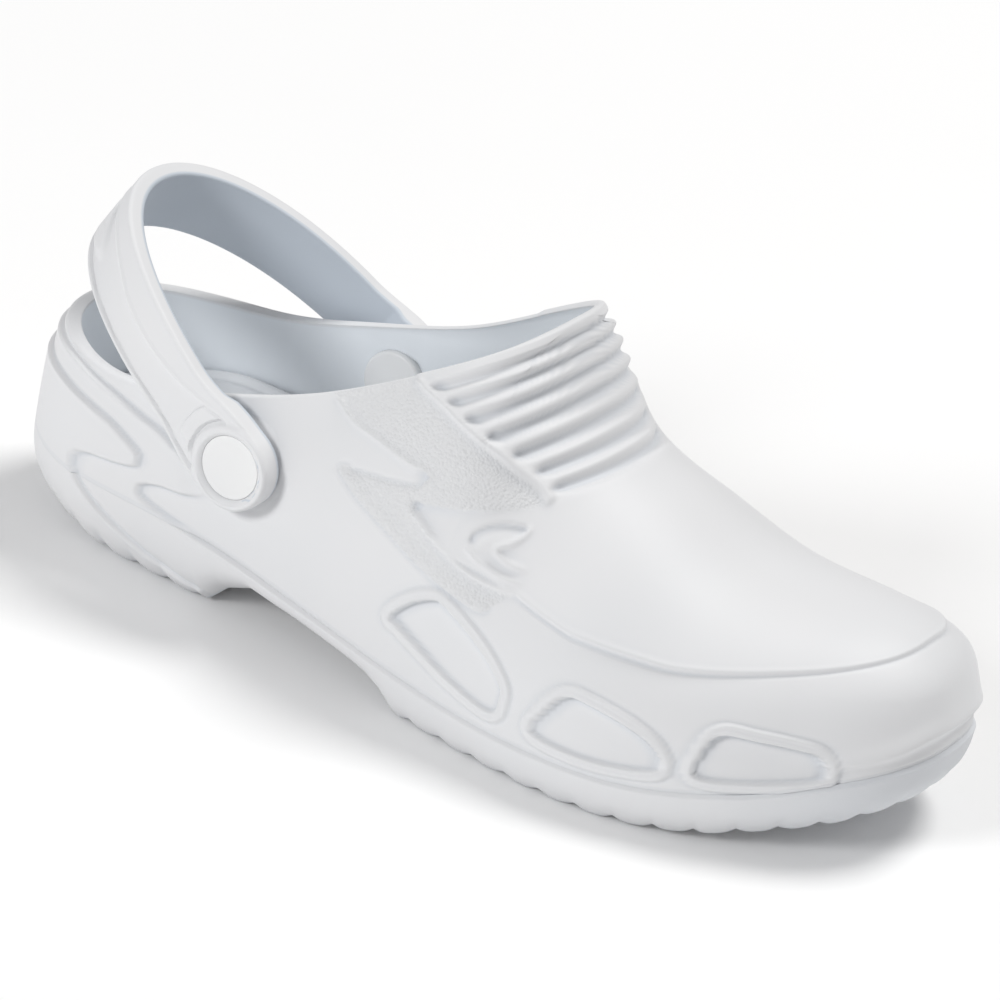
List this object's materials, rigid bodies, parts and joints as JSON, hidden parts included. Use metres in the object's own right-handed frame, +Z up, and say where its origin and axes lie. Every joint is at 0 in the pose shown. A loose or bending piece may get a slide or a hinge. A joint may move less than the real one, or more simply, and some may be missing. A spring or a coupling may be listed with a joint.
{
  "type": "garden clog",
  "caption": "Right-foot moulded foam garden clog with a ribbed instep, blind side windows, a lugged sole and a heel strap on push rivets.",
  "frame": {"origin": "middle of the bounding box on the floor under the sole", "axes": "+X from heel to toe, -Y to the outer (lateral) side, +Z up"},
  "size_m": [0.2826, 0.1052, 0.1074],
  "materials": {
    "upper_foam": "satin white moulded foam",
    "sole_foam": "satin white moulded foam",
    "insole_foam": "matt white moulded foam",
    "strap_foam": "satin white moulded foam",
    "rivet_plastic": "satin white plastic"
  },
  "bodies": {
    "root": {"upper": "upper_foam", "sole": "sole_foam", "insole": "insole_foam", "heel_strap": "strap_foam", "rivet_cap_lateral": "rivet_plastic", "rivet_cap_medial": "rivet_plastic", "rivet_back_lateral": "rivet_plastic", "rivet_back_medial": "rivet_plastic"}
  },
  "joints": []
}
